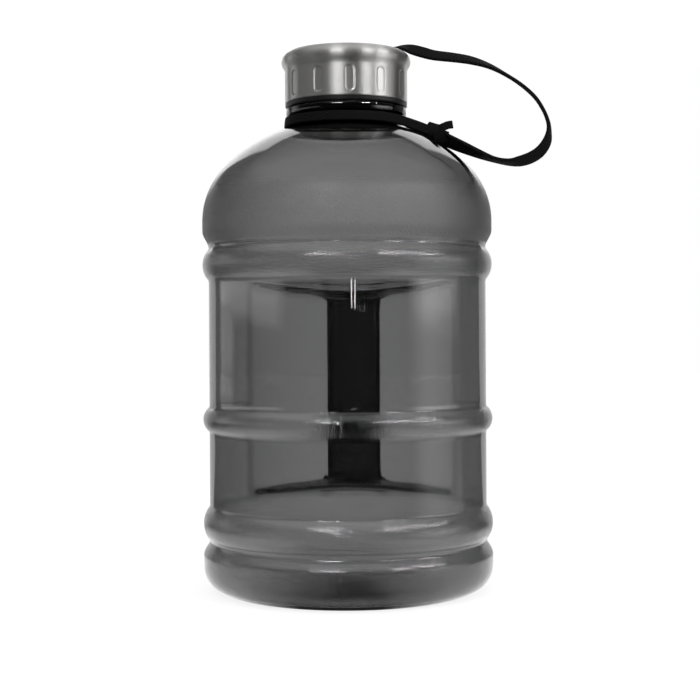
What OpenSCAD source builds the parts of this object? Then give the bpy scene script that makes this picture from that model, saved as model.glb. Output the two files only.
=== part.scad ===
// Large water jug: blow-moulded ribbed bottle with a moulded-in grip, a steel screw cap with a
// black plastic liner, and a flat carry strap from the cap to a knotted loop round the neck.
// Millimetres. The jug stands on z = 0 with its axis on Z. Its front faces -Y, its grip is on +Y,
// and the strap hangs out towards +X.

/* [Bottle] */
// Radius of the plain wall between the ribs
body_r = 60.3; // [56:0.1:64]
// How far the ribs, the shoulder band and the base band stand out from the wall
rib_h = 2.7; // [1.5:0.1:3.2]
// Thickness of the moulded wall
wall_t = 1.3; // [1.0:0.1:1.8]
// Height of the hollow pushed up into the base
push_up = 6; // [3:0.5:10]

/* [Neck] */
// Outer radius of the neck where the strap's loop sits
neck_r = 25.2; // [24.6:0.1:25.4]
// Radius of the mouth's bore
mouth_r = 20.6; // [19:0.1:21]
// Height of the mouth's rim above the floor
mouth_z = 227.6; // [227:0.1:227.6]
// Advance of the cap's thread in one turn
pitch = 5; // [4.5:0.1:5.5]

/* [Grip] */
// Width of the grip bar
grip_w = 25; // [20:0.5:28]
// Distance from the jug's axis to the grip bar's inner face
grip_in = 44; // [42:0.1:45]
// Distance from the jug's axis to the grip bar's outer face
grip_out = 59.4; // [58:0.1:59.6]

/* [Cap] */
// Outer radius of the cap's steel skirt
skirt_r = 26.7; // [26.7:0.1:27.2]
// Number of pressed marks round the skirt
mark_count = 12; // [6:1:16]
// Depth of a pressed mark
mark_depth = 0.3; // [0.1:0.05:0.35]

/* [Strap] */
// Width of the webbing
strap_w = 6.8; // [5:0.1:8]
// Thickness of the webbing
strap_t = 1.5; // [1.2:0.1:1.8]

/* [Hidden] */
$fn = 96;

// Bottle outline: heights of the features on the wall
foot_r = 52;                  // outer edge of the ring that the jug stands on
foot_in = 45;                 // inner edge of that ring
band_r = body_r + rib_h;
corner = band_r - foot_r;     // rounding from the standing ring to the base band
base_band_top = 16;
base_groove_z = 22.4;
low_rib = [29.6, 7.2];        // centre height and half width of each rib
mid_rib = [74.5, 5.3];
top_rib = [141.3, 6.8];
shoulder_groove_z = 148.4;
shoulder_band_z = 156;
dome_z = 160;                 // where the shoulder starts to turn in
dome_r1 = 34;                 // radius of the shoulder's turn
dome_a1 = 46;                 // angle that it turns through
dome_r2 = 70;                 // radius of the flatter dome above it
neck_fillet = 1.5;

// Centres of the two arcs of the dome
c1 = [band_r - dome_r1, dome_z];
c2 = c1 + (dome_r1 - dome_r2) * [cos(dome_a1), sin(dome_a1)];

// Neck heights
collar_r = 26.2;
collar_z = [206.3, 209.3];
thread_root_r = 22.9;
thread_crest_r = 24.0;
rim_round = 0.8;

// Pocket behind the grip
pocket_z = [37.4, 135.2];     // where its floor and ceiling meet the plain wall
pocket_slope = 0.137;         // how far floor and ceiling close in for each mm of depth
valley_r = 64.3;              // radius of the finger gap's curved wall
valley_y = 79.3;              // distance of that curve's centre behind the axis
grip_corner = 6.5;

// Cap heights
shell_t = 0.6;
skirt_z = 211.8;
bead_z = 225.6;
bead_r = 28.2;
cap_top = 234;
lid_z = 233;
lip_z = 209.8;
mark_w = 3.8;
mark_z = [213.7, 224.3];
mark_start = 276.8;           // direction of the first mark
lip_r = 26.6;
liner_r = skirt_r - shell_t - 0.05;
liner_bore = 24.3;
liner_top = [229.1, 230.7];
gasket_z = [227.8, 229.1];
rivet_r = 2.0;
rivet_hole_r = rivet_r + 0.06;

// Thread ridges: each takes 1.5 turns, and the cap's ridge lies in the gap of the neck's ridge
thread_turns = 1.5;
neck_thread_z = 212.6;
cap_thread_z = neck_thread_z + pitch / 2 - 0.2;
thread_steps = 36;

// Strap: height of the punched end, of the loop round the neck, and the knot's place
tab_z = lid_z + 0.1;
loop_z = [201.4, 205.5];
loop_r = neck_r + 0.4;
loop_t = 1.3;
knot_gap = 0.4;
knot_r = 3.7;
knot_lean = 28.2;
knot_len = 9;
strands_meet = 37;

// ---- helpers ----

// Points on an arc from angle a0 to a1 in n steps
function arc(c, r, a0, a1, n) =
    [for (i = [0:n]) let (a = a0 + (a1 - a0) * i / n) c + r * [cos(a), sin(a)]];

// A rib's outline: one arc of half width hw and height h on a wall of radius r0, going up
function rib(r0, rib_at, h, n) =
    let (hw = rib_at[1], rr = (hw * hw + h * h) / (2 * h), a = asin(hw / rr))
    arc([r0 + h - rr, rib_at[0]], rr, -a, a, n);

// Smooth step from radius ra at height za to rb at zb, leaving out both ends
function ease(ra, za, rb, zb, n) =
    [for (i = [1:n - 1]) let (t = i / n, s = (1 - cos(180 * t)) / 2) [ra + (rb - ra) * s, za + (zb - za) * t]];

// Height of the dome's upper arc at radius r, with the arc's radius made smaller by t
function dome_h(r, t) = c2[1] + sqrt(pow(dome_r2 - t, 2) - pow(r - c2[0], 2));

// Outline of the body from the standing ring up the wall and over the dome, moved in by t
function wall_line(t) = concat(
    [for (p = arc([foot_r, corner], corner - t, -90, 0, 8)) [p[0], p[1]]],
    [[band_r - t, base_band_top]],
    ease(band_r - t, base_band_top, body_r - t, base_groove_z, 6),
    rib(body_r - t, low_rib, rib_h, 10),
    rib(body_r - t, mid_rib, rib_h, 8),
    rib(body_r - t, top_rib, rib_h, 10),
    ease(body_r - t, shoulder_groove_z, band_r - t, shoulder_band_z, 6),
    arc(c1, dome_r1 - t, 0, dome_a1, 12));

// Upper dome from the shoulder's turn to radius r_end, moved in by t
function dome_line(t, r_end) =
    let (a_end = acos((r_end - c2[0]) / (dome_r2 - t)))
    [for (i = [1:12]) let (a = dome_a1 + (a_end - dome_a1) * i / 12)
        c2 + (dome_r2 - t) * [cos(a), sin(a)]];

// Hollow base from the axis to the standing ring, moved up by t
function base_line(t) =
    [for (i = [0:10]) let (s = i / 10) [foot_in * s, t + push_up * (1 + cos(180 * s)) / 2]];

// Outline of the bottle's outside
function outer_line() = concat(
    base_line(0),
    wall_line(0),
    dome_line(0, neck_r + neck_fillet),
    arc([neck_r + neck_fillet, dome_h(neck_r + neck_fillet, 0) + neck_fillet], neck_fillet, 265, 180, 6),
    [[neck_r, collar_z[0] - 0.8], [collar_r, collar_z[0]], [collar_r, collar_z[1]],
     [thread_root_r, collar_z[1] + 0.4], [thread_root_r, mouth_z - rim_round]],
    arc([thread_root_r - rim_round, mouth_z - rim_round], rim_round, 15, 90, 5),
    [[0, mouth_z]]);

// Outline of the room inside, open at the mouth
function inner_line() = concat(
    base_line(wall_t + 0.4),
    wall_line(wall_t),
    dome_line(wall_t, mouth_r + 2),
    arc([mouth_r + 2, dome_h(mouth_r + 2, wall_t) + 2], 2, 265, 180, 6),
    [[mouth_r, mouth_z + 1], [0, mouth_z + 1]]);

// A helical ridge: trapezoid section, thinning to nothing at both ends
module ridge(r_root, r_crest, w_root, w_crest, z0) {
    n = thread_steps * thread_turns;
    fade = 5;
    function grow(i) = min(1, (i + 0.4) / fade, (n - i + 0.4) / fade);
    function section(i) =
        let (a = 360 * i / thread_steps, z = z0 + pitch * i / thread_steps, g = grow(i),
             rc = r_root + (r_crest - r_root) * g, wr = w_root * (0.6 + 0.4 * g) / 2, wc = w_crest * g / 2)
        [for (p = [[r_root, -wr], [rc, -wc], [rc, wc], [r_root, wr]])
            [p[0] * cos(a), p[0] * sin(a), z + p[1]]];
    points = [for (i = [0:n]) each section(i)];
    flip = r_crest > r_root;
    sides = [for (i = [0:n - 1]) for (k = [0:3])
        let (a = 4 * i + k, b = 4 * i + (k + 1) % 4, c = b + 4, d = a + 4)
        each [[a, c, b], [a, d, c]]];
    ends = [[0, 1, 2], [0, 2, 3], [4 * n, 4 * n + 2, 4 * n + 1], [4 * n, 4 * n + 3, 4 * n + 2]];
    faces = concat(sides, ends);
    polyhedron(points, flip ? [for (f = faces) [f[2], f[1], f[0]]] : faces);
}

// Rectangle with round corners between two corner points
module round_rect(lo, hi, r) {
    translate([lo[0] + r, lo[1]]) square([hi[0] - lo[0] - 2 * r, hi[1] - lo[1]]);
    translate([lo[0], lo[1] + r]) square([hi[0] - lo[0], hi[1] - lo[1] - 2 * r]);
    for (x = [lo[0] + r, hi[0] - r]) for (y = [lo[1] + r, hi[1] - r])
        translate([x, y]) circle(r = r);
}

// Space cut for the hand, made larger by g for the room behind its wall
module pocket(g) {
    reach = body_r + 20;
    depth = pocket_slope * body_r;
    flare = pocket_slope * 20;
    intersection() {
        translate([0, valley_y, 0]) cylinder(r = valley_r + g, h = 300, $fn = 128);
        rotate_extrude($fn = 128) polygon([
            [0, pocket_z[0] - g + depth], [reach, pocket_z[0] - g - flare],
            [reach, pocket_z[1] + g + flare], [0, pocket_z[1] + g - depth]]);
    }
}

// The upright bar that stays standing in the pocket, made smaller by g for its hollow
module grip_bar(g) {
    translate([0, 0, pocket_z[0] - 12]) linear_extrude(pocket_z[1] - pocket_z[0] + 24)
        round_rect([-grip_w / 2 + g, grip_in + g], [grip_w / 2 - g, grip_out - g], grip_corner - g);
}

// ---- sub-parts ----

// The space for the hand: the pocket less the bar, or the same moved out into the wall by g
module hand_space(g) {
    difference() { pocket(g); grip_bar(g); }
}

module bottle_body() color([0.33, 0.33, 0.34, 0.5]) {
    difference() {
        union() {
            difference() {
                rotate_extrude($fn = 128) polygon(outer_line());
                rotate_extrude($fn = 128) polygon(inner_line());
            }
            intersection() {
                rotate_extrude($fn = 128) polygon(outer_line());
                difference() { hand_space(wall_t); hand_space(0); }
            }
        }
        hand_space(0);
    }
    ridge(thread_root_r - 0.3, thread_crest_r, 2.6, 1.0, neck_thread_z);
}

module cap_shell() color([0.78, 0.78, 0.77]) {
    bead_c = [bead_r - 4.0, 229.7];
    difference() {
        rotate_extrude() polygon(concat(
            [[skirt_r - shell_t, skirt_z], [skirt_r, skirt_z], [skirt_r, bead_z]],
            arc(bead_c, 4.0, -42, 72, 12),
            [[bead_c[0] - 0.4, cap_top], [bead_c[0] - 2.4, lid_z], [0, lid_z], [0, lid_z - shell_t],
             [bead_c[0] - 2.6, lid_z - shell_t]],
            arc(bead_c, 4.0 - shell_t, 60, -42, 10),
            [[skirt_r - shell_t, bead_z + 0.3]]));
        translate([0, 0, lid_z - 2]) cylinder(r = rivet_hole_r, h = 4);
        for (i = [0:mark_count - 1]) rotate([0, 0, 360 / mark_count * i + mark_start]) skirt_mark();
    }
}

// One pressed mark: a shallow slot with round ends, cut from outside
module skirt_mark() {
    translate([skirt_r - mark_depth, 0, 0]) {
        translate([0, -mark_w / 2, mark_z[0] + mark_w / 2]) cube([3, mark_w, mark_z[1] - mark_z[0] - mark_w]);
        for (z = [mark_z[0] + mark_w / 2, mark_z[1] - mark_w / 2])
            translate([0, 0, z]) rotate([0, 90, 0]) cylinder(d = mark_w, h = 3, $fn = 24);
    }
}

module cap_liner() color([0.07, 0.07, 0.07]) {
    rotate_extrude() polygon([
        [liner_bore, lip_z], [lip_r - 0.4, lip_z], [lip_r, lip_z + 0.5], [lip_r, skirt_z - 0.05],
        [liner_r, skirt_z - 0.05], [liner_r, bead_z - 0.6], [liner_r - 0.6, liner_top[1]],
        [0, liner_top[1]], [0, liner_top[0]], [liner_bore, liner_top[0]]]);
    ridge(liner_bore + 0.3, liner_bore - 1.1, 2.6, 1.0, cap_thread_z);
}

module cap_gasket() color([0.85, 0.85, 0.83]) {
    translate([0, 0, gasket_z[0]]) difference() {
        cylinder(r = liner_bore - 0.1, h = gasket_z[1] - gasket_z[0] - 0.02);
        translate([0, 0, -1]) cylinder(r = 17, h = 5);
    }
}

module strap_rivet() color([0.7, 0.7, 0.7]) {
    foot_z = 230.9;
    washer_top = tab_z + strap_t + 0.8;
    translate([0, 0, foot_z]) cylinder(r = 3.2, h = 0.7);
    translate([0, 0, foot_z]) cylinder(r = rivet_r, h = washer_top - foot_z + 0.5);
    rotate_extrude() polygon(concat([[0, washer_top], [3.6, washer_top]],
        [for (i = [1:6]) [3.6 * cos(15 * i), washer_top + 1.3 * sin(15 * i)]]));
}

module strap_washer() color([0.72, 0.72, 0.72]) {
    translate([0, 0, tab_z + strap_t + 0.05]) difference() {
        cylinder(r = 5.2, h = 0.7);
        translate([0, 0, -1]) cylinder(r = rivet_hole_r, h = 3);
    }
}

module rivet_backing() color([0.72, 0.72, 0.72]) {
    translate([0, 0, 231.65]) difference() {
        cylinder(r = 5.0, h = 0.6);
        translate([0, 0, -1]) cylinder(r = rivet_hole_r, h = 3);
    }
}

// The strap's punched end, flat on the cap's lid
module strap_tab() color([0.05, 0.05, 0.05]) {
    reach = tab_end[0];
    translate([0, 0, tab_z]) difference() {
        union() {
            cylinder(d = strap_w + 1.6, h = strap_t);
            translate([0, -strap_w / 2, 0]) cube([reach, strap_w, strap_t]);
        }
        translate([0, 0, -1]) cylinder(r = rivet_hole_r, h = 5);
    }
}

// Circle round the neck with straight sides that meet inside the knot
module teardrop(r) {
    a = acos(r / strands_meet);
    circle(r = r, $fn = 96);
    polygon([[0, 0], r * [cos(a), sin(a)], [strands_meet, 0], r * [cos(a), -sin(a)]]);
}

// Loop round the neck, its two strands and the knot that they meet in, which lies along the dome
module neck_loop() color([0.05, 0.05, 0.05]) {
    translate([0, 0, loop_z[0]]) linear_extrude(loop_z[1] - loop_z[0]) intersection() {
        difference() { teardrop(loop_r + loop_t); teardrop(loop_r); }
        translate([-40, -40]) square([40 + strands_meet - 1.5, 80]);
    }
    translate([c2[0], 0, c2[1]]) rotate([0, knot_lean, 0]) {
        translate([-knot_len / 2, 0, dome_r2 + knot_r + knot_gap]) rotate([0, 90, 0])
            cylinder(r = knot_r, h = knot_len);
        translate([1, 0, dome_r2 + knot_r + 0.6 + knot_gap]) sphere(r = knot_r + 0.6);
        translate([1, -1.2, dome_r2 + knot_r + 1]) rotate([0, -knot_lean, 0]) cube([5.6, 1.6, 3.2]);
    }
}

// ---- free run of the strap ----

// Route of the webbing's middle from the cap to the knot
strap_route = [
    [8, 0, 233.9], [13, 0, 233.9], [18, 0.4, 234.8], [21.5, 0.8, 235.8], [25, 1.1, 236.1],
    [29, 1.5, 235.4], [33.5, 1.9, 234.2], [38.5, 2.2, 232.9], [46.5, 2.6, 231.9], [54.5, 2.6, 230.5],
    [62.5, 2.4, 227.8], [70.3, 1.9, 223.5], [76.8, 1.2, 218.9], [82.2, 0.5, 213.7], [85.6, -0.2, 208.3],
    [87.6, -0.9, 203.2], [88.1, -1.6, 198.8], [87.2, -2.2, 194.2], [84.4, -2.8, 190.0], [80.4, -3.1, 187.2],
    [75.5, -3.1, 185.6], [70.5, -2.8, 185.2], [64.5, -2.4, 186.4], [58, -1.9, 188.9], [51, -1.3, 192.0],
    [46, -0.6, 194.3], [42.6, 0, 196.0]];

// Lean of the webbing at those points: 90 is flat on the lid, and past it the near edge turns inwards
strap_lean = [90, 90, 94, 100, 112, 130, 134, 131, 128, 122, 110, 101, 97, 96, 97, 99, 102, 117, 124, 124,
              118, 101, 96, 108, 122, 130, 133];

tab_end = [7.9, 0, 233.9];

function unit(v) = v / norm(v);
function along(i) =
    unit(strap_route[min(i + 1, len(strap_route) - 1)] - strap_route[max(i - 1, 0)]);

// Section of the webbing: eight points of a flat bar with cut corners
strap_section = [for (k = [0:7]) let (a = 22.5 + 45 * k, flat = abs(sin(a)) > 0.5)
    [sign(cos(a)) * (strap_w / 2 - (flat ? 0.5 : 0)), sign(sin(a)) * strap_t / (flat ? 2 : 4)]];

// The section's points at one place of the route
function strap_ring(i) =
    let (t = along(i), y = unit([0, 1, 0] - t[1] * t), u = cross(y, t), s = strap_lean[i],
         across = y * sin(s) + u * cos(s), up = cross(t, across))
    [for (h = strap_section) strap_route[i] + across * h[0] + up * h[1]];

module carry_strap() color([0.05, 0.05, 0.05]) {
    n = len(strap_route);
    last = 8 * n - 8;
    points = [for (i = [0:n - 1]) each strap_ring(i)];
    sides = [for (i = [0:n - 2]) for (k = [0:7])
        let (a = 8 * i + k, b = 8 * i + (k + 1) % 8, c = b + 8, d = a + 8)
        each [[a, b, c], [a, c, d]]];
    ends = concat([for (k = [1:6]) [0, k + 1, k]], [for (k = [1:6]) [last, last + k, last + k + 1]]);
    polyhedron(points, concat(sides, ends));
}

bottle_body();
cap_shell();
cap_liner();
cap_gasket();
strap_rivet();
strap_washer();
rivet_backing();
strap_tab();
carry_strap();
neck_loop();
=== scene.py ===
"""Large water jug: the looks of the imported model.

The bottle, the steel shell and the webbing are built here as finished meshes; the liner, the gasket
and the rivet's pieces keep their CAD shape. Shapes are worked out in millimetres and stored in metres.
"""
import math

import bpy
import numpy as np
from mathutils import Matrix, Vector


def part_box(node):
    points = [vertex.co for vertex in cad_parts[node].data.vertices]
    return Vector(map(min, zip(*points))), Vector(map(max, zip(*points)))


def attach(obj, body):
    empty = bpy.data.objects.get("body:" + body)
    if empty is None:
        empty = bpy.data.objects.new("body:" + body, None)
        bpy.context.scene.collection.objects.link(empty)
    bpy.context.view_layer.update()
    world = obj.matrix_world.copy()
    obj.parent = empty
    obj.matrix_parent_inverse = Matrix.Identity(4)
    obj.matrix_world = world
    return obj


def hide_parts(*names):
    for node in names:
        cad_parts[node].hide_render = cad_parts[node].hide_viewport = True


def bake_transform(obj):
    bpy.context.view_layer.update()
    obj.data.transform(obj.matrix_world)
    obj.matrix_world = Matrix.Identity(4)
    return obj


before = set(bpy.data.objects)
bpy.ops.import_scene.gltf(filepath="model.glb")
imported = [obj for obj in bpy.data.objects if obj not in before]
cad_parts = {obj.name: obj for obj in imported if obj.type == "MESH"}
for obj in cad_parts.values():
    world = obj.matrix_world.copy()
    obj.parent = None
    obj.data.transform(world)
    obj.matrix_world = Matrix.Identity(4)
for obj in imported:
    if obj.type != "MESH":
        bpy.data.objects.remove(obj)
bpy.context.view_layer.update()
MM = 0.001


def cad_box(node):
    """A CAD node's lowest and highest corner, in millimetres."""
    lo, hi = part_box(node)
    return np.array(lo) / MM, np.array(hi) / MM


BOTTLE_LO, BOTTLE_HI = cad_box("bottle_body")
SHELL_LO, SHELL_HI = cad_box("cap_shell")
TAB_LO, TAB_HI = cad_box("strap_tab")

# Bottle outline
RIB_H = 2.7
BAND_R = (BOTTLE_HI[0] - BOTTLE_LO[0]) / 2
BODY_R = BAND_R - RIB_H
WALL = 1.3
GRIP_WALL = 2.2  # the plastic is thicker where the mould pinches it round the grip
FOOT_R = 52.0
FOOT_IN = 45.0
CORNER = BAND_R - FOOT_R
PUSH_UP = 6.0
BASE_BAND_TOP = 16.0
BASE_GROOVE = 22.4
RIBS = ((29.6, 7.2), (74.5, 5.3), (141.3, 6.8))  # centre height and half width
SHOULDER_GROOVE = 148.4
SHOULDER_BAND = 156.0

# Heights between which the mould is grained: base, lower rib, middle rib, upper rib, and the shoulder
GRAINED = ((1.5, 21.0), (24.0, 36.8), (69.2, 79.8), (134.8, 146.8))
SHOULDER_GRAIN, SHOULDER_FROST = (149.6, 175.0), (149.6, 181.0)

# Shoulder and dome
DOME_Z = 160.0
DOME_R1, DOME_R2 = 34.0, 70.0
DOME_A1 = math.radians(46)
DOME_C1 = np.array([BAND_R - DOME_R1, DOME_Z])
DOME_C2 = DOME_C1 + (DOME_R1 - DOME_R2) * np.array([math.cos(DOME_A1), math.sin(DOME_A1)])

# Neck
NECK_R, MOUTH_R, MOUTH_Z = 25.2, 20.6, BOTTLE_HI[2]
COLLAR_R, COLLAR_LO, COLLAR_HI = 26.2, 206.3, 209.3
THREAD_ROOT, THREAD_CREST = 22.9, 24.0
PITCH, THREAD_TURNS, THREAD_Z = 5.0, 1.5, 212.6
NECK_FROM, BORE_FROM = 150, 180  # inside the dome, where the neck's and the bore's cylinders start
NECK_CUT = 203.4  # where the bottle's grid surface ends and the turned neck begins

# Pocket and grip bar
POCKET_LO, POCKET_HI, POCKET_SLOPE = 37.4, 135.2, 0.137
VALLEY_R, VALLEY_Y = 64.3, 79.3
GRIP_W, GRIP_IN, GRIP_OUT, GRIP_CORNER = 25.0, 44.0, 59.4, 6.5
GRIP_Y = (GRIP_IN + GRIP_OUT) / 2
THICK_X, THICK_Y, THICK_FADE = 18, 36, 4  # the thicker wall's half width, its start in depth, its fade

# Widths over which surfaces round into each other
POCKET_EDGE, POCKET_CORNER, GRIP_FOOT, NECK_FOOT, BORE_FOOT = 3.0, 5.0, 9.0, 3.0, 4.0
RIB_FOOT = 0.5

# Mould seam in the plane through the grip: height, half width and where it starts above the foot
SEAM_H, SEAM_W, SEAM_FROM = 0.05, 0.25, 3.0

# Cap shell
SKIRT_R, SHELL_T = 26.7, 0.6
SKIRT_Z, CAP_TOP = SHELL_LO[2], SHELL_HI[2]
BEAD_Z, BEAD_ROUND = 225.6, 4.0
BEAD_C = np.array([(SHELL_HI[0] - SHELL_LO[0]) / 2 - BEAD_ROUND, 229.7])
LID_Z = 233.0
MARKS, MARK_W, MARK_LO, MARK_HI, MARK_DEPTH = 12, 3.8, 213.7, 224.3, 0.34
MARK_START = math.radians(276.8)

# Webbing
STRAP_W, STRAP_T = 6.8, 1.5
STRAP_ROUTE = [
    (8, 0, 233.9), (13, 0, 233.9), (18, 0.4, 234.8), (21.5, 0.8, 235.8), (25, 1.1, 236.1),
    (29, 1.5, 235.4), (33.5, 1.9, 234.2), (38.5, 2.2, 232.9), (46.5, 2.6, 231.9), (54.5, 2.6, 230.5),
    (62.5, 2.4, 227.8), (70.3, 1.9, 223.5), (76.8, 1.2, 218.9), (82.2, 0.5, 213.7), (85.6, -0.2, 208.3),
    (87.6, -0.9, 203.2), (88.1, -1.6, 198.8), (87.2, -2.2, 194.2), (84.4, -2.8, 190.0), (80.4, -3.1, 187.2),
    (75.5, -3.1, 185.6), (70.5, -2.8, 185.2), (64.5, -2.4, 186.4), (58, -1.9, 188.9), (51, -1.3, 192.0),
    (46, -0.6, 194.3), (42.6, 0, 196.0),
]
# Lean of the webbing at those points: 90 is flat on the lid, and past it the near edge turns inwards
STRAP_LEAN = [90, 90, 94, 100, 112, 130, 134, 131, 128, 122, 110, 101, 97, 96, 97, 99, 102, 117, 124, 124,
              118, 101, 96, 108, 122, 130, 133]
LOOP_R = NECK_R + 0.4
LOOP_W, LOOP_T, LOOP_Z = 4.1, 1.3, 203.3
LOOP_LEAN = 0.12  # how far the loop's upper edge leans in, away from the knot
LOOP_GAP = 0.9  # half the distance between the loop's ends at the knot
KNOT = np.array([39.2, 0.0, 198.9])
RIVET_R = 2.06
TAB_R = (STRAP_W + 1.2) / 2
TAB_SIDES_FROM, TAB_DISC_TO = 0.35, 0.55  # cosines where the tab's straight sides start and its disc ends


# ---------------------------------------------------------------- meshes

def make_object(name, points, faces):
    """A mesh object from points in millimetres."""
    mesh = bpy.data.meshes.new(name)
    mesh.from_pydata((np.asarray(points, float) * MM).tolist(), [], [list(f) for f in faces])
    mesh.validate()
    mesh.shade_smooth()
    obj = bpy.data.objects.new(name, mesh)
    bpy.context.scene.collection.objects.link(obj)
    return obj


def grid_faces(rows, cols, closed_rows=False):
    """Quads of a grid of points numbered row by row, each row closed on itself."""
    faces = []
    for i in range(rows if closed_rows else rows - 1):
        for j in range(cols):
            a, b = i * cols + j, i * cols + (j + 1) % cols
            c, d = (i + 1) % rows * cols + (j + 1) % cols, (i + 1) % rows * cols + j
            faces.append((a, b, c, d))
    return faces


def smooth_path(points, steps):
    """A Catmull-Rom curve through the points, with this many steps in each span."""
    p = np.asarray(points, float)
    p = np.vstack([2 * p[0] - p[1], p, 2 * p[-1] - p[-2]])
    t = np.linspace(0, 1, steps, endpoint=False)[:, None]
    out = []
    for a, b, c, d in zip(p[:-3], p[1:-2], p[2:-1], p[3:]):
        out.append(0.5 * (2 * b + (c - a) * t + (2 * a - 5 * b + 4 * c - d) * t ** 2
                          + (3 * b - a - 3 * c + d) * t ** 3))
    return np.vstack(out + [p[-2:-1]])


def unit(v):
    return v / np.linalg.norm(v, axis=-1, keepdims=True)


def band_section(width, thick, crown=0.12):
    """Half the outline of flat webbing and its mirror image: round selvedges and a slight crown."""
    side = [(0.5, 0.0), (0.497, 0.3), (0.485, 0.43), (0.46, 0.49), (0.40, 0.5), (0.2, 0.5 + crown / 2)]
    top = side + [(0.0, 0.5 + crown / 2)] + [(-x, y) for x, y in side[::-1]]
    ring = top + [(-x, -y) for x, y in top[1:-1]]
    return np.array([(x * width, y * thick) for x, y in ring])


def sweep(name, path, across, section, closed=False):
    """A section swept along a path; across gives the section's x direction at each point."""
    path, across = np.asarray(path, float), np.asarray(across, float)
    if closed:
        tangent = unit(np.roll(path, -1, 0) - np.roll(path, 1, 0))
    else:
        tangent = unit(np.gradient(path, axis=0))
    across = unit(across - (across * tangent).sum(1, keepdims=True) * tangent)
    up = np.cross(tangent, across)
    pts = (path[:, None] + across[:, None] * section[None, :, :1] + up[:, None] * section[None, :, 1:])
    n, m = len(path), len(section)
    faces = grid_faces(n, m, closed_rows=closed)
    if not closed:
        faces += [tuple(range(m))[::-1], tuple(range((n - 1) * m, n * m))]
    return make_object(name, pts.reshape(-1, 3), faces)


# ---------------------------------------------------------------- the strap, as one cord

def strap_frames(steps):
    path = smooth_path(STRAP_ROUTE, steps)
    lean = np.radians(smooth_path(np.array(STRAP_LEAN, float)[:, None], steps)[:, 0])[:, None]
    tangent = unit(np.gradient(path, axis=0))
    level = unit(np.array([0, 1.0, 0]) - tangent[:, 1:2] * tangent)
    upright = np.cross(level, tangent)
    return path, level * np.sin(lean) + upright * np.cos(lean)


strap_path, strap_across = strap_frames(8)
carry_strap = sweep("carry_strap", strap_path, strap_across, band_section(STRAP_W, STRAP_T))
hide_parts("carry_strap")


# ---------------------------------------------------------------- bottle

def soft_max(a, b, k):
    """The larger of two distances, rounded over a width k where they cross."""
    h = np.maximum(k - np.abs(a - b), 0) / k
    return np.maximum(a, b) + h * h * k / 4


def soft_min(a, b, k):
    return -soft_max(-a, -b, k)


def wall_radius(z):
    """Radius of the moulded wall between the base corner and the shoulder's turn."""
    low = np.clip((z - BASE_BAND_TOP) / (BASE_GROOVE - BASE_BAND_TOP), 0, 1)
    high = np.clip((z - SHOULDER_GROOVE) / (SHOULDER_BAND - SHOULDER_GROOVE), 0, 1)
    out = RIB_H * (1 + np.cos(np.pi * low)) / 2 + RIB_H * (1 - np.cos(np.pi * high)) / 2
    for at, half in RIBS:
        bend = (half * half + RIB_H * RIB_H) / (2 * RIB_H)
        rib = RIB_H - bend + np.sqrt(np.maximum(bend * bend - (z - at) ** 2, 0))
        out = out + np.where(np.abs(z - at) < 1.3 * half, soft_max(rib, 0 * rib, RIB_FOOT), 0)
    return BODY_R + out


def base_height(r):
    return PUSH_UP * (1 + np.cos(np.pi * np.minimum(r / FOOT_IN, 1))) / 2


def turned_body(r, z):
    """Distance to the bottle's turned outline without its neck: negative inside."""
    d = 0.02
    slope = (wall_radius(z + d) - wall_radius(z - d)) / (2 * d)
    wall = (r - wall_radius(z)) / np.sqrt(1 + slope ** 2)
    corner = np.hypot(np.maximum(r - FOOT_R, 0), CORNER - z) - CORNER
    turn = np.arctan2(z - DOME_C1[1], r - DOME_C1[0]) < DOME_A1
    dome = np.where(turn, np.hypot(r - DOME_C1[0], z - DOME_C1[1]) - DOME_R1,
                    np.hypot(r - DOME_C2[0], z - DOME_C2[1]) - DOME_R2)
    side = np.where(z < CORNER, corner, np.where(z < DOME_Z, wall, dome))
    slope = (base_height(r + d) - base_height(r - d)) / (2 * d)
    return np.maximum(side, (base_height(r) - z) / np.sqrt(1 + slope ** 2))


def seam(x):
    return SEAM_H * np.exp(-(x / SEAM_W) ** 2)


def hand_space(x, y, z, r, seamed):
    """Distance to the air round the grip bar: negative in the air."""
    tilt = math.hypot(1, POCKET_SLOPE)
    depth = POCKET_SLOPE * (BODY_R - r)
    slab = np.maximum((z - POCKET_HI + depth) / tilt, (POCKET_LO + depth - z) / tilt)
    pocket = soft_max(slab, np.hypot(x, y - VALLEY_Y) - VALLEY_R, POCKET_CORNER)
    dx = np.abs(x) - (GRIP_W / 2 - GRIP_CORNER)
    dy = np.abs(y - GRIP_Y) - ((GRIP_OUT - GRIP_IN) / 2 - GRIP_CORNER)
    bar = (np.hypot(np.maximum(dx, 0), np.maximum(dy, 0)) + np.minimum(np.maximum(dx, dy), 0)
           - GRIP_CORNER)
    if seamed:
        bar = bar - np.where(y > GRIP_Y, seam(x), 0)
    return soft_max(pocket, -bar, GRIP_FOOT)


def outside(p):
    x, y, z = p[..., 0], p[..., 1], p[..., 2]
    r = np.hypot(x, y)
    neck = np.maximum(r - NECK_R, NECK_FROM - z)
    turned = soft_min(turned_body(r, z), neck, NECK_FOOT) - np.where(z > SEAM_FROM, seam(x), 0)
    return soft_max(turned, -hand_space(x, y, z, r, True), POCKET_EDGE)


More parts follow.
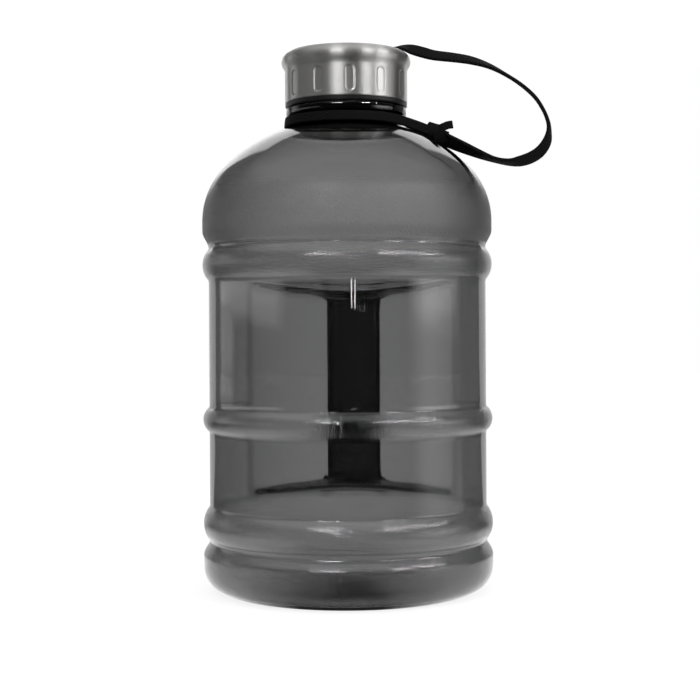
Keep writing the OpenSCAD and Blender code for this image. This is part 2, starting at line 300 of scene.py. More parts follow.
def inside(p):
    """Distance to the room inside: negative in the room."""
    x, y, z = p[..., 0], p[..., 1], p[..., 2]
    r = np.hypot(x, y)
    bore = np.maximum(r - MOUTH_R, BORE_FROM - z)
    room = soft_min(turned_body(r, z) + WALL, bore, BORE_FOOT)
    near_bar = (np.clip((THICK_X - np.abs(x)) / THICK_FADE, 0, 1)
                * np.clip((y - THICK_Y) / THICK_FADE, 0, 1))
    wall = WALL + (GRIP_WALL - WALL) * near_bar
    return soft_max(room, wall - hand_space(x, y, z, r, False), POCKET_EDGE)


def spaced(*stops):
    """Grid lines from (start, step), (start, step) ... to the last stop, a bare number."""
    lines = []
    ends = [s[0] for s in stops[1:-1]] + [stops[-1]]
    for (start, step), end in zip(stops[:-1], ends):
        lines.append(np.linspace(start, end, max(1, round((end - start) / step)), endpoint=False))
    return np.append(np.concatenate(lines), stops[-1])


def around():
    """Angles of the grid lines: close at the seams in front and behind, and fine over the pocket."""
    coarse, fine, seam_step = 2.6, 1.35, 0.3
    return np.radians(spaced((-89.55, coarse), (30, fine), (89.4, seam_step), (90.6, fine), (150, coarse),
                             (269.55, seam_step), 270.45))[:-1]


def cells_of(field):
    """The eight corner values of each cell of a grid that closes on itself in its first axis."""
    ring = np.concatenate([field, field[:1]])
    nt, nz, nr = ring.shape
    return {(a, b, c): ring[a:nt - 1 + a, b:nz - 1 + b, c:nr - 1 + c]
            for a in (0, 1) for b in (0, 1) for c in (0, 1)}


def surface_net(distance, turns, heights, radii):
    """Points on the zero surface of a distance, one for each grid cell that it crosses, and quads.

    The grid is in cylinder coordinates. Also returns the table of point numbers by cell.
    """
    t, z, r = np.meshgrid(turns, heights, radii, indexing="ij")
    field = distance(np.stack([r * np.cos(t), r * np.sin(t), z], -1))
    corner = cells_of(field)
    total = np.zeros(corner[0, 0, 0].shape + (3,))
    count = np.zeros(corner[0, 0, 0].shape)
    for axis in range(3):
        for u in (0, 1):
            for v in (0, 1):
                low = [u, v]
                low.insert(axis, 0)
                high = [u, v]
                high.insert(axis, 1)
                a, b = corner[tuple(low)], corner[tuple(high)]
                crossed = (a < 0) != (b < 0)
                where = np.array(low, float) * np.ones(total.shape)
                where[..., axis] = a / np.where(crossed, a - b, 1)
                total += np.where(crossed[..., None], where, 0)
                count += crossed
    active = count > 0
    number = np.full(active.shape, -1)
    number[active] = np.arange(active.sum())
    i, j, k = np.nonzero(active)
    local = total[active] / count[active][:, None]
    turn_step = np.diff(np.append(turns, turns[0] + 2 * math.pi))
    ct = turns[i] + local[:, 0] * turn_step[i]
    cz = heights[j] + local[:, 1] * np.diff(heights)[j]
    cr = radii[k] + local[:, 2] * np.diff(radii)[k]
    points = np.stack([cr * np.cos(ct), cr * np.sin(ct), cz], -1)
    points = on_surface(distance, points)
    return points, net_quads(field < 0, number), number


def net_quads(solid, number):
    """Quads round every grid edge that the surface crosses, facing out of the solid."""
    before = np.roll(number, 1, 0)
    quads = []

    def add(near, far, ring):
        crossed = near != far
        quad = np.stack([n[crossed] for n in ring], -1)
        flip = ~near[crossed]
        quad[flip] = quad[flip][:, ::-1]
        quads.append(quad)

    s = solid[:, 1:-1, :]
    add(s[..., :-1], s[..., 1:], (before[:, :-1], number[:, :-1], number[:, 1:], before[:, 1:]))
    s = solid[:, 1:-1, 1:-1]
    add(s, np.roll(s, -1, 0),
        (number[:, :-1, :-1], number[:, 1:, :-1], number[:, 1:, 1:], number[:, :-1, 1:]))
    s = solid[:, :, 1:-1]
    add(s[:, :-1], s[:, 1:], (before[..., :-1], before[..., 1:], number[..., 1:], number[..., :-1]))
    return np.concatenate(quads)


def on_surface(distance, points, rounds=4):
    """Moves points along the distance's slope until they lie on its zero surface."""
    d, reach = 0.01, 0.8  # the step that measures the slope, and the furthest move in one round
    for _ in range(rounds):
        value = distance(points)
        slope = np.stack([(distance(points + e) - distance(points - e)) / (2 * d)
                          for e in np.eye(3) * d], -1)
        size = np.maximum((slope ** 2).sum(-1), 0.05)
        points = points - np.clip(value / size, -reach, reach)[:, None] * slope
    return points


def thread_height(turn, z):
    """How far the neck's thread stands out at an angle and a height, from 0 to 1."""
    best = np.zeros_like(z)
    for lap in range(2):
        along = (turn % (2 * math.pi)) / (2 * math.pi) + lap
        off = np.abs(z - THREAD_Z - PITCH * along)
        fade = np.clip(np.minimum(along, THREAD_TURNS - along) * 8, 0, 1)
        best = np.maximum(best, np.clip((1.3 - off) / 0.8, 0, 1) * fade)
    return best


def neck_rows(turns):
    """Rings of the turned neck from the outside over the rim and down the bore."""
    rim = [(THREAD_ROOT - 0.8 + 0.8 * math.cos(a), MOUTH_Z - 0.8 + 0.8 * math.sin(a))
           for a in np.radians([0, 25, 50, 75, 90])]
    outline = [(NECK_R, 204.0), (NECK_R, 205.2), (NECK_R + 0.15, 205.6), (COLLAR_R - 0.3, COLLAR_LO - 0.15),
               (COLLAR_R - 0.08, COLLAR_LO + 0.1), (COLLAR_R, COLLAR_LO + 0.4), (COLLAR_R, COLLAR_HI - 0.5),
               (COLLAR_R - 0.1, COLLAR_HI - 0.2), (COLLAR_R - 0.4, COLLAR_HI),
               (THREAD_ROOT + 0.5, COLLAR_HI + 0.25), (THREAD_ROOT + 0.12, COLLAR_HI + 0.4),
               (THREAD_ROOT, COLLAR_HI + 0.8)]
    outline += [(THREAD_ROOT, z) for z in np.arange(COLLAR_HI + 1.2, MOUTH_Z - 1.2, 0.42)]
    outline += rim + [(MOUTH_R + 0.6, MOUTH_Z), (MOUTH_R + 0.18, MOUTH_Z - 0.18), (MOUTH_R, MOUTH_Z - 0.6)]
    outline += [(MOUTH_R, z) for z in (222, 216, 210, 206, 204.2)]
    rows = []
    for radius, z in outline:
        threaded = radius == THREAD_ROOT
        extra = thread_height(turns, np.full_like(turns, z)) if threaded else 0 * turns
        radius = radius + (THREAD_CREST - THREAD_ROOT) * extra
        rows.append(np.stack([radius * np.cos(turns), radius * np.sin(turns), np.full_like(turns, z)], -1))
    return rows


def build_bottle():
    turns = around()
    heights = spaced((-1.0, 0.85), (38, 1.5), (45, 3.4), (68, 0.8), (81, 3.4), (126, 1.5), (132, 0.8),
                     (160, 1.5), (187, 1.0), NECK_CUT)
    radii = spaced((2.5, 1.5), (56, 1.2), 66.0)
    outer, outer_quads, outer_no = surface_net(outside, turns, heights, radii)
    inner, inner_quads, inner_no = surface_net(inside, turns, heights, radii)
    count = len(turns)
    mid = turns + np.diff(np.append(turns, turns[0] + 2 * math.pi)) / 2
    rows = neck_rows(mid)
    points = [outer, inner] + rows + [np.array([[0, 0, base_height(0.0)], [0, 0, base_height(0.0) + WALL]])]
    first_inner = len(outer)
    first_row = first_inner + len(inner)
    centres = first_row + count * len(rows)
    top_outer = outer_no[:, -1, :].max(1)
    top_inner = inner_no[:, -1, :].max(1) + first_inner
    rings = [top_outer] + [first_row + count * n + np.arange(count) for n in range(len(rows))] + [top_inner]
    faces = [outer_quads, inner_quads[:, ::-1] + first_inner]
    for low, high in zip(rings[:-1], rings[1:]):
        faces.append(np.stack([low, np.roll(low, -1), np.roll(high, -1), high], -1))
    faces = np.concatenate(faces).tolist()
    for ring, centre, up in ((outer_no[:, :, 0].max(1), centres, False),
                             (inner_no[:, :, 0].max(1) + first_inner, centres + 1, True)):
        for a, b in zip(ring.tolist(), np.roll(ring, -1).tolist()):
            faces.append((centre, a, b) if up else (centre, b, a))
    obj = make_object("bottle_body", np.concatenate(points), faces)
    for name, amount in (("grain", grain_amount(outer)), ("frost", frost_amount(outer))):
        attribute = obj.data.attributes.new(name, "FLOAT", "POINT")
        values = np.zeros(len(obj.data.vertices), np.float32)
        values[:first_inner] = amount
        attribute.data.foreach_set("value", values)
    return obj


def zone(z, lo, hi, fade_lo=1.2, fade_hi=1.2):
    """1 between two heights, fading to 0 at each."""
    return np.clip((z - lo) / fade_lo, 0, 1) * np.clip((hi - z) / fade_hi, 0, 1)


def grain_amount(points):
    """1 where the mould is grained: the base, the ribs and the shoulder band; 0 where it is polished."""
    z, r = points[:, 2], np.hypot(points[:, 0], points[:, 1])
    amount = sum(zone(z, lo, hi) for lo, hi in GRAINED)
    return np.clip(amount + zone(z, *SHOULDER_GRAIN, 1.2, 7.0), 0, 1) * (r > BODY_R - 1)


def frost_amount(points):
    """1 on the shoulder band, where the grain is matt."""
    return np.sqrt(zone(points[:, 2], *SHOULDER_FROST, 1.5, 15.0))


bottle = build_bottle()
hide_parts("bottle_body")


# ---------------------------------------------------------------- cap shell

def mark_depth(turn, z):
    """Depth of the pressed marks at an angle and a height."""
    step = 2 * math.pi / MARKS
    off = ((turn - MARK_START + step / 2) % step - step / 2) * SKIRT_R
    reach = np.clip(z, MARK_LO + MARK_W / 2, MARK_HI - MARK_W / 2)
    edge = MARK_W / 2 - np.hypot(off, z - reach)
    press = np.clip(edge / 0.55 + 0.5, 0, 1)
    return MARK_DEPTH * press * press * (3 - 2 * press)


def build_shell():
    count = 432
    turns = np.linspace(0, 2 * math.pi, count, endpoint=False)

    def arc(radius, a0, a1, n):
        return [tuple(BEAD_C + radius * np.array([math.cos(a), math.sin(a)]))
                for a in np.radians(np.linspace(a0, a1, n))]

    skirt = np.append(np.arange(SKIRT_Z + 0.5, MARK_HI + 0.8, 0.33), [BEAD_Z - 0.3])
    outer = [(SKIRT_R - 0.32, SKIRT_Z), (SKIRT_R - 0.1, SKIRT_Z + 0.08), (SKIRT_R, SKIRT_Z + 0.28)]
    outer += [(SKIRT_R, z) for z in skirt]
    outer += [(SKIRT_R + 0.04, BEAD_Z + 0.2), (SKIRT_R + 0.22, BEAD_Z + 0.75)]
    outer += arc(BEAD_ROUND, -38, 74, 20)
    top_r = outer[-1][0]
    outer += [(top_r - 0.5, CAP_TOP - 0.03), (top_r - 1.1, CAP_TOP - 0.25), (top_r - 1.8, LID_Z + 0.25),
              (top_r - 2.6, LID_Z + 0.03), (top_r - 3.6, LID_Z)]
    outer += [(r, LID_Z) for r in (18, 14, 10, 6, 3, 2.25, 2.1)]
    inner = [(2.06, LID_Z - 0.3), (2.15, LID_Z - SHELL_T), (6, LID_Z - SHELL_T), (20, LID_Z - SHELL_T)]
    inner += arc(BEAD_ROUND - SHELL_T, 66, -38, 12)
    inner += [(SKIRT_R - SHELL_T + 0.1, BEAD_Z + 0.4), (SKIRT_R - SHELL_T, BEAD_Z - 0.2),
              (SKIRT_R - SHELL_T, MARK_HI + 0.8), (SKIRT_R - SHELL_T, SKIRT_Z + 0.2),
              (SKIRT_R - SHELL_T + 0.12, SKIRT_Z)]
    rows = []
    for n, (radius, z) in enumerate(outer + inner):
        pressed = mark_depth(turns, np.full(count, z)) if n < len(outer) and radius == SKIRT_R else 0
        r = radius - pressed + 0 * turns
        rows.append(np.stack([r * np.cos(turns), r * np.sin(turns), np.full(count, z)], -1))
    return make_object("cap_shell", np.concatenate(rows), grid_faces(len(rows), count, closed_rows=True))


shell = build_shell()
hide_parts("cap_shell")


# ---------------------------------------------------------------- webbing at the cap and the neck

def tab_reach(angle):
    """Distance from the rivet to the tab's edge: a disc that meets the webbing's width towards +X."""
    c, s = math.cos(angle), abs(math.sin(angle))
    limits = []
    if c < TAB_DISC_TO:
        limits.append(TAB_R)
    if c > TAB_SIDES_FROM:
        limits += [TAB_HI[0] / c, STRAP_W / 2 / max(s, 1e-6)]
    return min(limits)


def build_tab():
    """The punched end on the lid: a flat tab with a hole, its edges rounded."""
    n = 72
    base, thick = TAB_LO[2], STRAP_T
    turns = np.linspace(0, 2 * math.pi, n, endpoint=False)
    circle = np.array([(math.cos(a), math.sin(a)) for a in turns])
    outline = circle * np.array([tab_reach(a) for a in turns])[:, None]
    holes = circle * RIVET_R
    rows = []
    for inset, z in ((0.35, 0), (0.1, 0.12), (0, 0.4), (0, thick - 0.4), (0.1, thick - 0.12), (0.35, thick)):
        ring = outline - unit(outline) * inset
        rows.append(np.column_stack([ring, np.full(n, base + z)]))
    rows.append(np.column_stack([holes * 1.05, np.full(n, base + thick)]))
    rows.append(np.column_stack([holes, np.full(n, base + thick - 0.1)]))
    rows.append(np.column_stack([holes, np.full(n, base + 0.1)]))
    rows.append(np.column_stack([holes * 1.05, np.full(n, base)]))
    return make_object("strap_tab", np.concatenate(rows), grid_faces(len(rows), n, closed_rows=True))


tab = build_tab()
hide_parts("strap_tab")


def loop_path():
    """Middle of the webbing round the neck, from the knot round the back to the knot again."""
    r = LOOP_R + LOOP_T / 2 + 0.05
    apex = KNOT[0] - 1.0
    leave = math.degrees(math.acos(r / apex))
    points = []
    for a in np.linspace(leave + 4, 360 - leave - 4, 40):
        points.append((r * math.cos(math.radians(a)), r * math.sin(math.radians(a)), LOOP_Z))
    drop = LOOP_Z - KNOT[2]
    ends = []
    for side in (1, -1):
        tx, ty = r * math.cos(math.radians(leave)), side * r * math.sin(math.radians(leave))
        ends.append([(tx + (apex - tx) * f, ty * (1 - f) + side * LOOP_GAP * f, LOOP_Z - drop * f ** 1.4)
                     for f in (0.2, 0.45, 0.7, 0.92)])
    return smooth_path(ends[0][::-1] + points + ends[1], 4)


def build_loop():
    path = loop_path()
    lean = np.tile([0.0, 0.0, 1.0], (len(path), 1))
    out = unit(np.column_stack([path[:, :2], np.zeros(len(path))]))
    near = np.clip((path[:, 0] - 20) / 14, 0, 1)[:, None]
    lean = lean - out * LOOP_LEAN * (1 - near)
    return sweep("neck_band", path, lean, band_section(LOOP_W, LOOP_T, 0.06))


def wrap(name, centre, normal, size, width, wobble):
    """One turn of webbing round the strands, lying in a tilted plane."""
    n = 48
    normal = unit(np.array(normal, float))
    side = unit(np.cross(normal, [0, 0, 1.0]))
    up = np.cross(side, normal)
    a = np.linspace(0, 2 * math.pi, n, endpoint=False)[:, None]
    path = (np.array(centre) + side * size[0] * np.cos(a) + up * size[1] * np.sin(a)
            + normal * wobble * np.sin(2 * a))
    across = np.tile(normal, (n, 1)) + side * 0.2 * np.sin(a)
    return sweep(name, path, across, band_section(width, STRAP_T), closed=True)


def build_knot():
    pieces = [
        wrap("knot_turn_low", KNOT + [-1.4, 0, 0.2], (1, 0.15, -0.30), (2.7, 3.0), 5.2, 0.5),
        wrap("knot_turn_high", KNOT + [2.0, 0.1, -1.2], (1, -0.2, 0.35), (2.8, 3.3), 5.0, 0.6),
    ]
    core = smooth_path([(KNOT[0] - 5.5, 0, KNOT[2] + 1.4), (KNOT[0] - 2, 0.4, KNOT[2] + 0.4),
                        (KNOT[0] + 1.5, 0, KNOT[2] - 0.9), (KNOT[0] + 5, 0, KNOT[2] - 2.2)], 6)
    pieces.append(sweep("knot_core", core, np.tile([0.2, 0, 1.0], (len(core), 1)), band_section(4.6, 3.6)))
    tail = smooth_path([(KNOT[0] + 0.5, -1.5, KNOT[2] + 0.8), (KNOT[0] + 3.0, -1.6, KNOT[2] + 2.0),
                        (KNOT[0] + 5.2, -1.2, KNOT[2] + 2.9), (KNOT[0] + 7.2, -0.9, KNOT[2] + 3.2)], 6)
    pieces.append(sweep("strap_tail", tail, np.tile([-0.35, 0.1, 1.0], (len(tail), 1)),
                        band_section(3.4, 1.4)))
    return pieces


band = build_loop()
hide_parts("neck_loop")
knot = build_knot()
for piece in [band] + knot:
    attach(piece, "neck_loop")
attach(bottle, "bottle")
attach(shell, "cap")
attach(tab, "strap_end")
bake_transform(carry_strap)


# ---------------------------------------------------------------- materials

class Nodes:
    """Short calls for building a node tree."""

    def __init__(self, tree):
        self.tree = tree

    def add(self, kind, settings=None, **inputs):
        node = self.tree.nodes.new(kind)
        for key, value in (settings or {}).items():
            setattr(node, key, value)
        for key, value in inputs.items():
            self.put(node, key.replace("_", " "), value)
        return node

    def put(self, node, key, value):
        socket = node.inputs[int(key)] if key.isdigit() else node.inputs[key]
        if isinstance(value, bpy.types.NodeSocket):
            self.tree.links.new(value, socket)
        else:
            socket.default_value = value

    def math(self, op, a, b=0.0):
        node = self.add("ShaderNodeMath", {"operation": op})
        self.put(node, "0", a)
        self.put(node, "1", b)
        return node.outputs[0]

    def object_point(self):
        return self.add("ShaderNodeTexCoord").outputs["Object"]

    def noise(self, vector, scale, detail=2.0, rough=0.5):
        return self.add("ShaderNodeTexNoise", Vector=vector, Scale=scale, Detail=detail,
                        Roughness=rough).outputs["Fac"]

    def spread(self, value, lo, hi, to_lo, to_hi):
        node = self.add("ShaderNodeMapRange", Value=value)
        for key, number in zip((1, 2, 3, 4), (lo, hi, to_lo, to_hi)):
            node.inputs[key].default_value = number
        return node.outputs[0]

    def bump(self, height, distance, strength, normal=None):
        node = self.add("ShaderNodeBump", Height=height, Distance=distance, Strength=strength)
        if normal is not None:
            self.put(node, "Normal", normal)
        return node.outputs[0]


class Material(Nodes):
    """A new material with its Principled shader."""

    def __init__(self, name):
        self.mat = bpy.data.materials.new(name)
        self.mat.use_nodes = True
        super().__init__(self.mat.node_tree)
        self.bsdf = self.tree.nodes["Principled BSDF"]
        self.out = self.tree.nodes["Material Output"]

    def shader(self, **inputs):
        for key, value in inputs.items():
            self.put(self.bsdf, key.replace("_", " "), value)


def smoke_plastic():
    m = Material("smoke_plastic")
    point = m.object_point()
    grain = m.add("ShaderNodeAttribute", {"attribute_name": "grain"}).outputs["Fac"]
    frost = m.add("ShaderNodeAttribute", {"attribute_name": "frost"}).outputs["Fac"]
    cells = m.add("ShaderNodeTexVoronoi", {"feature": "SMOOTH_F1"}, Vector=point, Scale=1450.0,
                  Smoothness=0.4).outputs["Distance"]
    deep = m.math("ADD", grain, m.math("MULTIPLY", m.math("MULTIPLY", frost, grain), 2.0))
    height = m.math("MULTIPLY", m.math("ADD", cells, m.noise(point, 1900.0, 1.0)), deep)
    ripple = m.noise(point, 45.0, 1.0)
    soft = m.bump(ripple, 0.0006, 0.25)
    rough = m.math("ADD", m.spread(grain, 0, 1, 0.015, 0.05), m.math("MULTIPLY", frost, 0.36))
    m.shader(Base_Color=(1, 1, 1, 1), Transmission_Weight=1.0, IOR=1.54, Roughness=rough,
             Normal=m.bump(height, 0.00008, 0.9, soft))
    volume = m.add("ShaderNodeVolumeAbsorption", Color=(0.02, 0.02, 0.023, 1), Density=740.0)
    m.tree.links.new(volume.outputs[0], m.out.inputs["Volume"])
    return m.mat


def cylinder_point(m):
    """Cylinder coordinates of a point: angle, height and radius."""
    xyz = m.add("ShaderNodeSeparateXYZ", Vector=m.object_point())
    x, y, z = xyz.outputs
    radius = m.math("SQRT", m.math("ADD", m.math("MULTIPLY", x, x), m.math("MULTIPLY", y, y)))
    return m.math("ARCTAN2", y, x), z, radius


def brushed_steel():
    m = Material("brushed_steel")
    angle, z, radius = cylinder_point(m)
    lines = m.add("ShaderNodeCombineXYZ", X=m.math("MULTIPLY", angle, 0.9),
                  Y=m.math("MULTIPLY", z, 3200.0), Z=m.math("MULTIPLY", radius, 5200.0)).outputs[0]
    fine = m.noise(lines, 1.0, 3.0, 0.7)
    cloud = m.noise(m.object_point(), 70.0, 3.0)
    m.shader(Base_Color=(0.49, 0.486, 0.478, 1), Metallic=1.0,
             Roughness=m.spread(m.math("ADD", fine, m.math("MULTIPLY", cloud, 0.5)), 0.4, 1.1, 0.33, 0.47),
             Anisotropic=0.95, Anisotropic_Rotation=0.25, Normal=m.bump(fine, 0.00006, 0.5))
    tangent = m.add("ShaderNodeTangent", {"direction_type": "RADIAL", "axis": "Z"})
    m.tree.links.new(tangent.outputs[0], m.bsdf.inputs["Tangent"])
    return m.mat


def black_plastic():
    m = Material("black_plastic")
    point = m.object_point()
    fine = m.noise(point, 2600.0, 2.0)
    worn = m.noise(point, 300.0)
    m.shader(Base_Color=(0.004, 0.004, 0.0042, 1), Roughness=m.spread(worn, 0.3, 0.7, 0.3, 0.42),
             Specular_IOR_Level=0.25, Normal=m.bump(fine, 0.00008, 0.3))
    return m.mat


def silicone():
    m = Material("silicone")
    point = m.object_point()
    worn = m.noise(point, 500.0)
    m.shader(Base_Color=(0.72, 0.72, 0.70, 1), Roughness=m.spread(worn, 0.3, 0.7, 0.42, 0.55),
             Normal=m.bump(m.noise(point, 1800.0), 0.00008, 0.3), Subsurface_Weight=0.2)
    m.bsdf.inputs["Subsurface Radius"].default_value = (0.002, 0.002, 0.002)
    return m.mat


def plated_steel():
    m = Material("rivet_steel")
    point = m.object_point()
    scratch = m.noise(point, 900.0, 4.0, 0.7)
    m.shader(Base_Color=(0.66, 0.66, 0.65, 1), Metallic=1.0,
             Roughness=m.spread(scratch, 0.3, 0.75, 0.16, 0.34), Normal=m.bump(scratch, 0.00005, 0.25))
    return m.mat


def webbing():
    m = Material("webbing")
    point = m.object_point()
    weave_a = m.add("ShaderNodeTexWave", {"wave_type": "BANDS", "bands_direction": "DIAGONAL"},
                    Vector=point, Scale=420.0, Distortion=1.5, Detail=2.0).outputs["Fac"]
    threads = m.noise(point, 2400.0, 3.0, 0.65)
    height = m.math("ADD", weave_a, m.math("MULTIPLY", threads, 0.8))
    tone = m.add("ShaderNodeMix", {"data_type": "RGBA"}, Factor=height)
    tone.inputs["A"].default_value = (0.0006, 0.0006, 0.0007, 1)
    tone.inputs["B"].default_value = (0.003, 0.003, 0.0032, 1)
    m.shader(Base_Color=tone.outputs["Result"], Roughness=m.spread(threads, 0.3, 0.7, 0.62, 0.82),
             Specular_IOR_Level=0.08, Normal=m.bump(height, 0.00022, 0.6))
    return m.mat


def paint(obj, material):
    obj.data.materials.clear()
    obj.data.materials.append(material)


WEB = webbing()
METAL = plated_steel()
paint(bottle, smoke_plastic())
paint(shell, brushed_steel())
for piece in [carry_strap, tab, band] + knot:
    paint(piece, WEB)
for node, material in (("cap_liner", black_plastic()), ("cap_gasket", silicone()), ("strap_rivet", METAL),
                       ("strap_washer", METAL), ("rivet_backing", METAL)):
    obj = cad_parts[node]
    for slot in obj.material_slots:
        slot.material = material


# ---------------------------------------------------------------- stage, lights and camera

# The studio as reflections see it: a white panel behind the jug, a reflector at each side with a dimmer
# one towards the back on the left, a ceiling and dim surroundings. Places are parts of a unit direction
# (aside, up, or back from the camera's side), and each pair of them is a range over which a part fades.
VIEW = math.radians(3.2)  # direction of the camera from the front, towards +X
STUDIO_DIM, STUDIO_BACK = 0.04, 0.20  # brightness of the surroundings, in front and behind
PANEL_LOW, PANEL_HIGH = 0.66, 0.37  # half width of the panel low down and higher up
PANEL_WIDE, PANEL_TOP = (0.12, 0.30), (0.65, 0.69)
SIDE_LEFT, EDGE_LEFT, SIDE_RIGHT, CEILING = 1.3, 0.8, 3.4, 1.05  # brightness
LEFT_FOOT, LEFT_TOP, LEFT_FRONT, LEFT_BACK = (-0.005, 0.025), (0.06, 0.13), (-0.66, -0.50), (0.57, 0.66)
EDGE_FOOT, EDGE_TOP, EDGE_FRONT = (-0.05, -0.02), (0.25, 0.50), (0.22, 0.36)
RIGHT_FOOT, RIGHT_TOP = (-0.01, 0.03), (0.12, 0.25)
RIGHT_FRONT, RIGHT_DIM, RIGHT_BACK = (-0.66, -0.42), (-0.30, 0.25), (0.15, 0.29)
CEILING_FOOT, CEILING_BACK = (0.45, 0.75), (0.0, 0.7)
WHITE = (1, 1, 1, 1)

FLOOR_HALF = 3.0
# the floor's glow: dimmed under the jug as a painted shade, and white further out
FLOOR_PAINTED_SHADE, FLOOR_WHITE = 0.2, 0.83
SHADE_IN, SHADE_OUT = 0.036, 0.051  # radii between which the floor's painted shade under the jug fades to white
NEAR_FLOOR, NEAR_IN, NEAR_OUT = 1.3, 0.12, 0.35  # the floor by the jug in reflections, and where it fades
FAR_IN, FAR_DIP = 0.8, -0.06  # from this radius to the floor's end its direction rises to the horizon


def product(m, *factors):
    out = factors[0]
    for factor in factors[1:]:
        out = m.math("MULTIPLY", out, factor)
    return out


def brightest(m, *values):
    out = values[0]
    for value in values[1:]:
        out = m.math("MAXIMUM", out, value)
    return out


def studio(m, x, y, z):
    """Brightness that a reflection sees in a direction."""
    off = m.math("ADD", m.math("MULTIPLY", x, math.cos(VIEW)), m.math("MULTIPLY", y, math.sin(VIEW)))
    back = m.math("SUBTRACT", m.math("MULTIPLY", y, math.cos(VIEW)), m.math("MULTIPLY", x, math.sin(VIEW)))
    aside = m.math("SUBTRACT", m.math("ABSOLUTE", off), m.spread(z, *PANEL_WIDE, PANEL_LOW, PANEL_HIGH))
    panel = product(m, m.spread(aside, -0.02, 0.02, 1, 0), m.spread(z, *PANEL_TOP, 1, 0),
                    m.spread(z, 0.1, 0.3, 0.75, 1.5), m.spread(back, 0.0, 0.2, 0, 1))
    on_left, on_right = m.spread(off, -0.1, 0.0, 1, 0), m.spread(off, 0.0, 0.1, 0, 1)
    left = product(m, on_left, m.spread(z, *LEFT_FOOT, 0, SIDE_LEFT), m.spread(z, *LEFT_TOP, 1, 0),
                   m.spread(back, *LEFT_FRONT, 0, 1), m.spread(back, *LEFT_BACK, 1, 0))
    edge = product(m, on_left, m.spread(z, *EDGE_FOOT, 0, EDGE_LEFT), m.spread(z, *EDGE_TOP, 1, 0),
                   m.spread(back, *EDGE_FRONT, 0, 1), m.spread(back, *LEFT_BACK, 1, 0))
    right = product(m, on_right, m.spread(z, *RIGHT_FOOT, 0.3 * SIDE_RIGHT, SIDE_RIGHT),
                    m.spread(z, *RIGHT_TOP, 1, 0), m.spread(back, *RIGHT_FRONT, 0, 1),
                    m.spread(back, *RIGHT_DIM, 1, 0.3), m.spread(back, *RIGHT_BACK, 1, 0))
    ceiling = product(m, m.spread(z, *CEILING_FOOT, 0, CEILING), m.spread(back, *CEILING_BACK, 1, 0.15))
    ambient = m.spread(back, -0.1, 0.9, STUDIO_DIM, STUDIO_BACK)
    return brightest(m, panel, left, edge, right, ceiling, ambient)


def seen_straight(m):
    """1 for what is seen directly or through the plastic, 0 in reflections."""
    return m.math("LESS_THAN", m.add("ShaderNodeLightPath").outputs["Glossy Depth"], 0.5)


def build_floor():
    """A white floor with painted shade under the jug; reflections see it as the studio's lower edge."""
    corners = [(x * FLOOR_HALF, y * FLOOR_HALF, 0) for x, y in ((-1, -1), (1, -1), (1, 1), (-1, 1))]
    mesh = bpy.data.meshes.new("floor")
    mesh.from_pydata(corners, [], [(0, 1, 2, 3)])
    floor = bpy.data.objects.new("floor", mesh)
    bpy.context.scene.collection.objects.link(floor)
    m = Material("pale_floor")
    place = m.add("ShaderNodeSeparateXYZ", Vector=m.object_point())
    x, y = place.outputs["X"], place.outputs["Y"]
    radius = m.math("SQRT", m.math("ADD", m.math("MULTIPLY", x, x), m.math("MULTIPLY", y, y)))
    # painted shade: the floor's glow is dimmed under the jug, where the jug would block the light
    m.shader(Base_Color=(0.2, 0.2, 0.2, 1), Roughness=0.9, Specular_IOR_Level=0.0, Emission_Color=WHITE,
             Emission_Strength=m.spread(radius, SHADE_IN, SHADE_OUT, FLOOR_PAINTED_SHADE, FLOOR_WHITE))
    aside = m.math("DIVIDE", x, radius)
    near = product(m, m.spread(radius, NEAR_IN, NEAR_OUT, NEAR_FLOOR, 0),
                   m.spread(m.math("ABSOLUTE", aside), 0.3, 0.8, 0.05, 1))
    light = brightest(m, near, studio(m, aside, m.math("DIVIDE", y, radius),
                                      m.spread(radius, FAR_IN, FLOOR_HALF, FAR_DIP, 0)))
    glow = m.add("ShaderNodeEmission", Color=WHITE, Strength=light)
    mix = m.add("ShaderNodeMixShader", Fac=seen_straight(m))
    m.tree.links.new(glow.outputs[0], mix.inputs[1])
    m.tree.links.new(m.bsdf.outputs[0], mix.inputs[2])
    m.tree.links.new(mix.outputs[0], m.out.inputs["Surface"])
    mesh.materials.append(m.mat)


def build_world():
    """White all round for what is seen directly or through the plastic, and the studio in reflections."""
    world = bpy.data.worlds.new("studio")
    bpy.context.scene.world = world
    world.use_nodes = True
    m = Nodes(world.node_tree)
    direction = m.add("ShaderNodeTexCoord").outputs["Generated"]
    light = studio(m, *m.add("ShaderNodeSeparateXYZ", Vector=direction).outputs)
    background = m.tree.nodes["Background"]
    m.put(background, "Color", WHITE)
    m.put(background, "Strength", m.math("MAXIMUM", seen_straight(m), light))


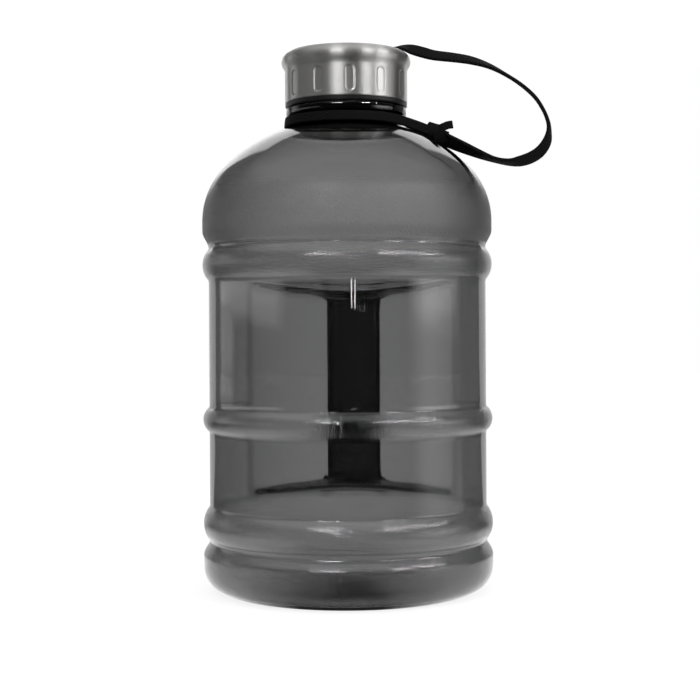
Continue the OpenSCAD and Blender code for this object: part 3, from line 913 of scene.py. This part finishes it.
def softbox(name, azimuth, elevation, distance, width, height, radiance):
    """An area light that faces the jug; azimuth is from the front, towards +X."""
    az, el = math.radians(azimuth), math.radians(elevation)
    aim = Vector((0, 0, AIM_HEIGHT))
    away = Vector((math.sin(az) * math.cos(el), -math.cos(az) * math.cos(el), math.sin(el)))
    light = bpy.data.lights.new(name, "AREA")
    light.shape = "RECTANGLE"
    light.size, light.size_y = width, height
    light.energy = radiance * width * height * math.pi
    obj = bpy.data.objects.new(name, light)
    bpy.context.scene.collection.objects.link(obj)
    obj.location = aim + away * distance
    obj.rotation_euler = away.to_track_quat("Z", "Y").to_euler()
    obj.visible_camera = False


AIM_HEIGHT = 0.13

# name, azimuth, elevation, distance, width, height and radiance
LIGHTS = (
    ("strip_left", -13, 27, 1.3, 0.42, 0.04, 80),
    ("strip_middle", 43, 27, 1.3, 0.36, 0.04, 75),
    ("strip_right", 73, 27, 1.3, 0.44, 0.04, 50),
    ("slit_a", 6.2, 1.36, 1.6, 0.018, 0.072, 20),
    ("slit_b", 9.0, 1.36, 1.6, 0.018, 0.072, 20),
)

CAMERA_DISTANCE, EYE_HEIGHT = 0.656, 0.1136
LENS, SHIFT_X, SHIFT_Y = 77.1, 0.0037, -0.0309
ROLL = math.radians(0.32)


def build_camera():
    data = bpy.data.cameras.new("camera")
    data.sensor_width = 36
    data.lens = LENS
    data.shift_x = SHIFT_X
    data.shift_y = SHIFT_Y
    data.clip_start = 0.01
    camera = bpy.data.objects.new("camera", data)
    bpy.context.scene.collection.objects.link(camera)
    camera.location = (CAMERA_DISTANCE * math.sin(VIEW), -CAMERA_DISTANCE * math.cos(VIEW), EYE_HEIGHT)
    camera.rotation_euler = (math.radians(90), ROLL, VIEW)
    bpy.context.scene.camera = camera


build_camera()
build_floor()
build_world()
for light in LIGHTS:
    softbox(*light)

scene = bpy.context.scene
scene.view_settings.view_transform = "Standard"
scene.view_settings.look = "None"
scene.cycles.max_bounces = 24
scene.cycles.transmission_bounces = 24
scene.cycles.transparent_max_bounces = 16
scene.cycles.glossy_bounces = 6
scene.cycles.use_denoising = True
